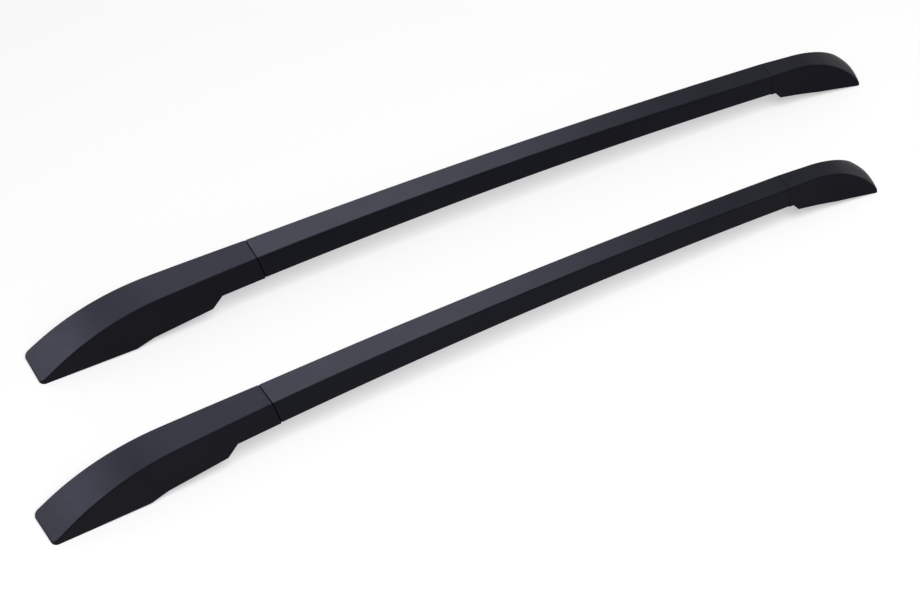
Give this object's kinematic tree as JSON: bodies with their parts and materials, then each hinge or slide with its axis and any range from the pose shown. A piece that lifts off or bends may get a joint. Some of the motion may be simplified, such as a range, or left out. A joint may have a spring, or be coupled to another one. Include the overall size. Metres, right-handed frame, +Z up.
{
  "type": "roof side rail pair",
  "caption": "Black roof side rail pair: arched hollow bars with leaning sides, long wedge front feet and short rounded rear feet that bolt to a car roof.",
  "frame": {"origin": "bottom centre of the pair's bounding box, on the plane the tips rest on", "axes": "+X from the noses to the tails midway between the rails, +Y toward the right rail, +Z up"},
  "size_m": [1.6208, 0.3786, 0.0983],
  "materials": {
    "bar_coat": "satin black coated extrusion",
    "cover_plastic": "fine grained black moulding",
    "bracket_metal": "as cast",
    "rubber": "matte",
    "steel": "zinc plated"
  },
  "bodies": {
    "root": {"left_bar": "bar_coat", "left_front_cover": "cover_plastic", "left_front_bracket": "bracket_metal", "left_front_pad": "rubber", "left_front_inserts": "steel", "left_front_bar_screws": "steel", "left_front_cover_screws": "steel", "left_front_seam_gasket": "rubber", "left_rear_cover": "cover_plastic", "left_rear_bracket": "bracket_metal", "left_rear_pad": "rubber", "left_rear_inserts": "steel", "left_rear_bar_screws": "steel", "left_rear_cover_screws": "steel", "left_rear_seam_gasket": "rubber", "right_bar": "bar_coat", "right_front_cover": "cover_plastic", "right_front_bracket": "bracket_metal", "right_front_pad": "rubber", "right_front_inserts": "steel", "right_front_bar_screws": "steel", "right_front_cover_screws": "steel", "right_front_seam_gasket": "rubber", "right_rear_cover": "cover_plastic", "right_rear_bracket": "bracket_metal", "right_rear_pad": "rubber", "right_rear_inserts": "steel", "right_rear_bar_screws": "steel", "right_rear_cover_screws": "steel", "right_rear_seam_gasket": "rubber"}
  },
  "joints": []
}
